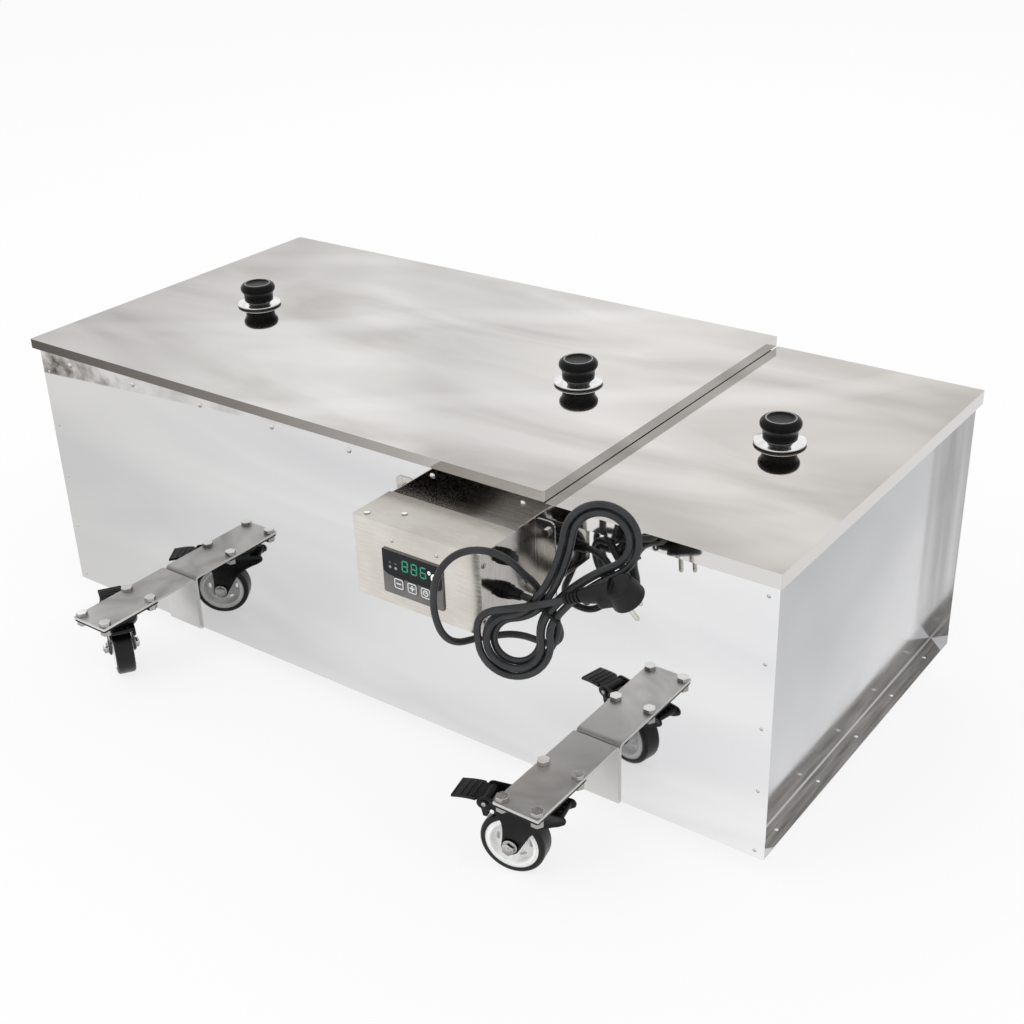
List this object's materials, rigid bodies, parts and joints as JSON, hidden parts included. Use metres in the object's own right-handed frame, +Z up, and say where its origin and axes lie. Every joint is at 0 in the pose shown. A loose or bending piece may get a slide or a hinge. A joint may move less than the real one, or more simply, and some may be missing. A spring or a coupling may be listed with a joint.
{
  "type": "heated honey strainer tank",
  "caption": "Long double-walled polished tank on braked swivel casters, with lift-off lids over strainer baskets, a thermostat box with a tied mains lead, and an outlet valve.",
  "frame": {"origin": "on the floor that the tyres stand on, under the middle of the bounding box of the tank without its mains lead", "axes": "+X along the tank towards the end with the small lid, +Y from the thermostat box to the back, +Z up"},
  "size_m": [1.165, 0.8068, 0.4258],
  "materials": {
    "polished_steel": "mirror-polished stainless sheet",
    "plain_steel": "plain stainless sheet",
    "bright_metal": "bright small hardware",
    "basket_steel": "slotted stainless sheet",
    "black_plastic": "glossy black",
    "mineral_wool": "loose mineral wool",
    "heater_steel": "heat-tinted steel",
    "nickel_brass": "nickel-plated, dull",
    "valve_chrome": "polished",
    "lever_coat": "plastic-dipped red",
    "box_steel": "finely brushed",
    "thermostat_plastic": "matt black",
    "front_plastic": "glossy black window over a grey field",
    "button_plastic": "grey, with a pale outline",
    "gland_plastic": "satin black",
    "cord_jacket": "satin black",
    "tie_wire": "dark coated wire",
    "plug_rubber": "moulded black",
    "strap_steel": "satin pickled stainless",
    "caster_black": "black powder coat",
    "wheel_plastic": "white polyamide",
    "tyre_rubber": "black rubber",
    "pedal_black": "black powder coat"
  },
  "bodies": {
    "tank": {"front_panel": "polished_steel", "back_panel": "polished_steel", "floor_panel": "plain_steel", "left_end_panel": "polished_steel", "right_end_panel": "polished_steel", "basin": "plain_steel", "partition": "plain_steel", "cross_rail": "polished_steel", "insulation": "mineral_wool", "heating_element": "heater_steel", "temperature_probe": "plain_steel", "casing_rivets": "bright_metal", "outlet_pipe": "plain_steel", "valve_body": "nickel_brass", "box_housing": "box_steel", "box_brackets": "box_steel", "box_screws": "bright_metal", "thermostat": "thermostat_plastic", "thermostat_front": "front_plastic", "cable_glands": "gland_plastic", "mains_lead": "cord_jacket", "lead_hank": "cord_jacket", "hank_tie": "tie_wire", "plug_body": "plug_rubber", "plug_pins": "bright_metal", "left_cradle": "strap_steel", "right_cradle": "strap_steel", "caster_top_plates": "caster_black", "caster_bolts": "bright_metal"},
    "large_lid": {"large_lid": "polished_steel", "large_lid_knobs": "black_plastic", "large_lid_rosettes": "bright_metal"},
    "small_lid": {"small_lid": "polished_steel", "small_lid_knob": "black_plastic", "small_lid_rosette": "bright_metal"},
    "fine_basket": {"fine_basket": "basket_steel"},
    "coarse_basket": {"coarse_basket": "basket_steel"},
    "valve": {"valve_ball": "valve_chrome", "valve_lever": "lever_coat"},
    "minus_button": {"minus_button": "button_plastic"},
    "plus_button": {"plus_button": "button_plastic"},
    "set_button": {"set_button": "button_plastic"},
    "front_left_fork": {"front_left_fork": "caster_black"},
    "front_left_wheel": {"front_left_wheel": "wheel_plastic", "front_left_tyre": "tyre_rubber"},
    "front_left_pedal": {"front_left_pedal": "pedal_black"},
    "front_right_fork": {"front_right_fork": "caster_black"},
    "front_right_wheel": {"front_right_wheel": "wheel_plastic", "front_right_tyre": "tyre_rubber"},
    "front_right_pedal": {"front_right_pedal": "pedal_black"},
    "back_left_fork": {"back_left_fork": "caster_black"},
    "back_left_wheel": {"back_left_wheel": "wheel_plastic", "back_left_tyre": "tyre_rubber"},
    "back_left_pedal": {"back_left_pedal": "pedal_black"},
    "back_right_fork": {"back_right_fork": "caster_black"},
    "back_right_wheel": {"back_right_wheel": "wheel_plastic", "back_right_tyre": "tyre_rubber"},
    "back_right_pedal": {"back_right_pedal": "pedal_black"}
  },
  "joints": [
    {"name": "large_lid_lift", "type": "slide", "parent": "tank", "child": "large_lid", "axis": [0, 0, 1], "range_m": [0, 0.46]},
    {"name": "small_lid_lift", "type": "slide", "parent": "tank", "child": "small_lid", "axis": [0, 0, 1], "range_m": [0, 0.46]},
    {"name": "fine_basket_lift", "type": "slide", "parent": "tank", "child": "fine_basket", "axis": [0, 0, 1], "range_m": [0, 0.28]},
    {"name": "coarse_basket_lift", "type": "slide", "parent": "tank", "child": "coarse_basket", "axis": [0, 0, 1], "range_m": [0, 0.28]},
    {"name": "outlet_valve_turn", "type": "hinge", "parent": "tank", "child": "valve", "pos_m": [-0.5215, 0, 0.1007], "axis": [0, 0, 1], "range_deg": [0, 90]},
    {"name": "minus_press", "type": "slide", "parent": "tank", "child": "minus_button", "axis": [0, 1, 0], "range_m": [0, 0.0006], "stiffness_N_per_m": 400},
    {"name": "plus_press", "type": "slide", "parent": "tank", "child": "plus_button", "axis": [0, 1, 0], "range_m": [0, 0.0006], "stiffness_N_per_m": 400},
    {"name": "set_press", "type": "slide", "parent": "tank", "child": "set_button", "axis": [0, 1, 0], "range_m": [0, 0.0006], "stiffness_N_per_m": 400},
    {"name": "front_left_swivel", "type": "hinge", "parent": "tank", "child": "front_left_fork", "pos_m": [-0.2845, -0.3584, 0.096], "axis": [0, 0, 1], "continuous": true},
    {"name": "front_left_roll", "type": "hinge", "parent": "front_left_fork", "child": "front_left_wheel", "pos_m": [-0.30966, -0.34206, 0.0375], "axis": [-0.5446, -0.8387, 0], "continuous": true},
    {"name": "front_left_brake", "type": "hinge", "parent": "front_left_fork", "child": "front_left_pedal", "pos_m": [-0.33314, -0.32681, 0.0865], "axis": [-0.5446, -0.8387, 0], "range_deg": [0, 12]},
    {"name": "front_right_swivel", "type": "hinge", "parent": "tank", "child": "front_right_fork", "pos_m": [0.3745, -0.3584, 0.096], "axis": [0, 0, 1], "continuous": true},
    {"name": "front_right_roll", "type": "hinge", "parent": "front_right_fork", "child": "front_right_wheel", "pos_m": [0.34527, -0.36515, 0.0375], "axis": [0.225, -0.9744, 0], "continuous": true},
    {"name": "front_right_brake", "type": "hinge", "parent": "front_right_fork", "child": "front_right_pedal", "pos_m": [0.31799, -0.37145, 0.0865], "axis": [0.225, -0.9744, 0], "range_deg": [0, 12]},
    {"name": "back_left_swivel", "type": "hinge", "parent": "tank", "child": "back_left_fork", "pos_m": [-0.2845, 0.3584, 0.096], "axis": [0, 0, 1], "continuous": true},
    {"name": "back_left_roll", "type": "hinge", "parent": "back_left_fork", "child": "back_left_wheel", "pos_m": [-0.31428, 0.35474, 0.0375], "axis": [0.1219, -0.9925, 0], "continuous": true},
    {"name": "back_left_brake", "type": "hinge", "parent": "back_left_fork", "child": "back_left_pedal", "pos_m": [-0.34207, 0.35133, 0.0865], "axis": [0.1219, -0.9925, 0], "range_deg": [0, 12]},
    {"name": "back_right_swivel", "type": "hinge", "parent": "tank", "child": "back_right_fork", "pos_m": [0.3745, 0.3584, 0.096], "axis": [0, 0, 1], "continuous": true},
    {"name": "back_right_roll", "type": "hinge", "parent": "back_right_fork", "child": "back_right_wheel", "pos_m": [0.34649, 0.34765, 0.0375], "axis": [0.3584, -0.9336, 0], "continuous": true},
    {"name": "back_right_brake", "type": "hinge", "parent": "back_right_fork", "child": "back_right_pedal", "pos_m": [0.32035, 0.33761, 0.0865], "axis": [0.3584, -0.9336, 0], "range_deg": [0, 12]}
  ],
  "couplings": [
    {"joint": "fine_basket_lift", "follows": "large_lid_lift", "ratio": 0.6},
    {"joint": "coarse_basket_lift", "follows": "small_lid_lift", "ratio": 0.6}
  ]
}
